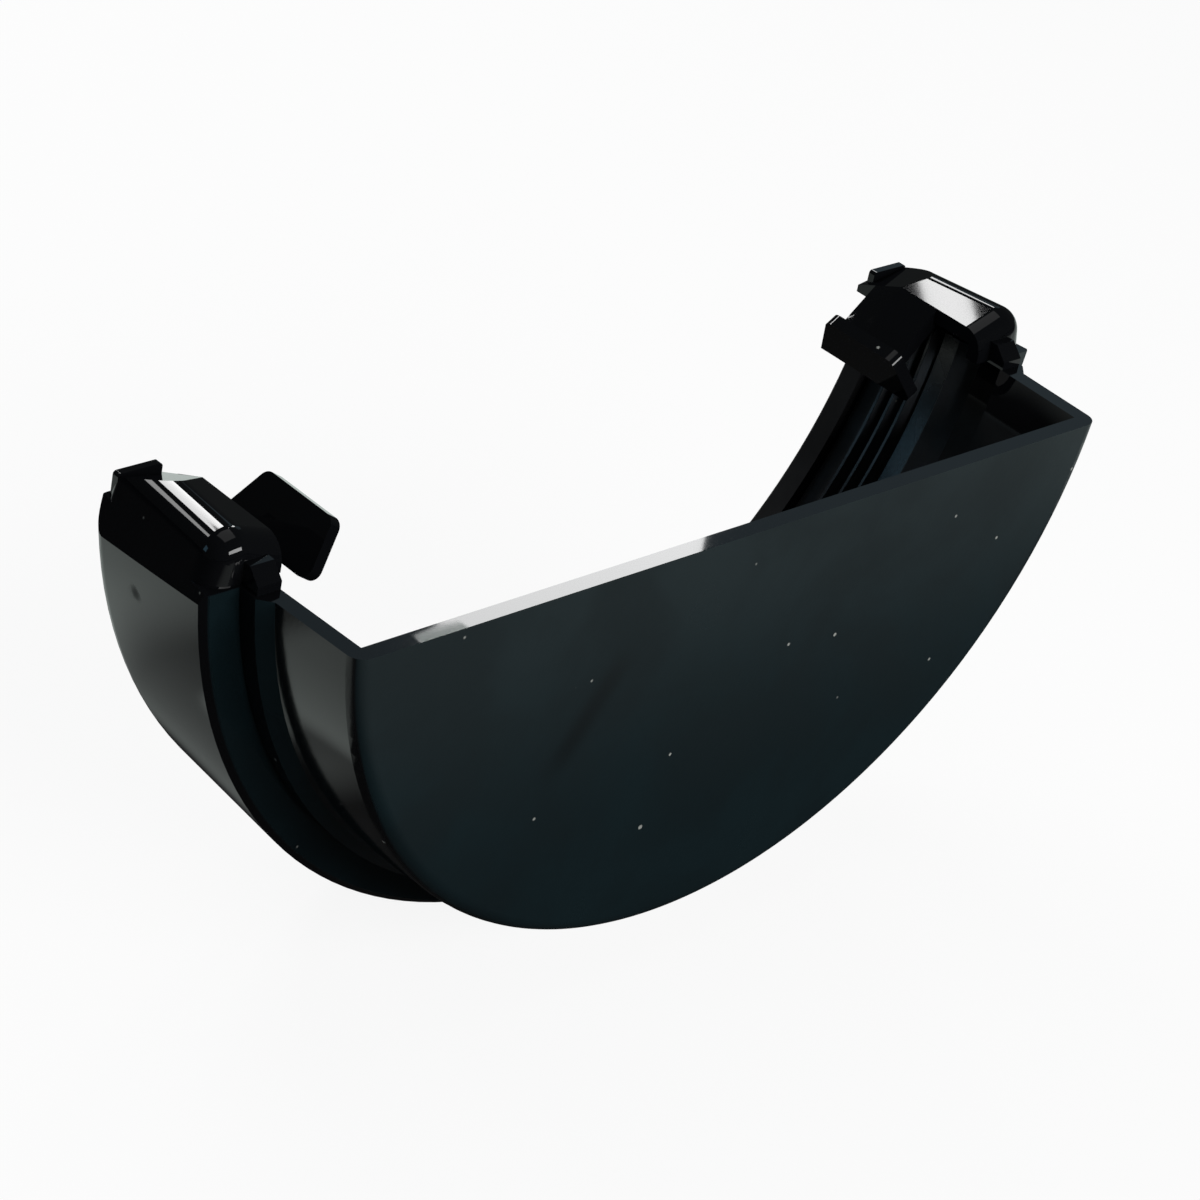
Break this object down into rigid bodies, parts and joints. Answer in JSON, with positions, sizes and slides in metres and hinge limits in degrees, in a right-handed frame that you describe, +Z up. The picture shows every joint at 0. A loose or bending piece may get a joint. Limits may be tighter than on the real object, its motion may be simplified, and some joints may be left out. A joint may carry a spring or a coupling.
{
  "type": "gutter end cap",
  "caption": "Half-round gutter end cap: an end plate and stepped socket with snap clips on the rims and a ribbed rubber seal inside, closing the open end of a rainwater gutter.",
  "frame": {"origin": "middle of the socket mouth, at the height of the rim", "axes": "+Y along the gutter axis, the way the gutter leaves the socket; +X across the gutter; +Z up, out of the open top"},
  "size_m": [0.1246, 0.0366, 0.0617],
  "materials": {
    "black_upvc": "satin black",
    "seal_rubber": "smooth black"
  },
  "bodies": {
    "root": {"stop_end_body": "black_upvc", "rubber_seal": "seal_rubber"}
  },
  "joints": []
}
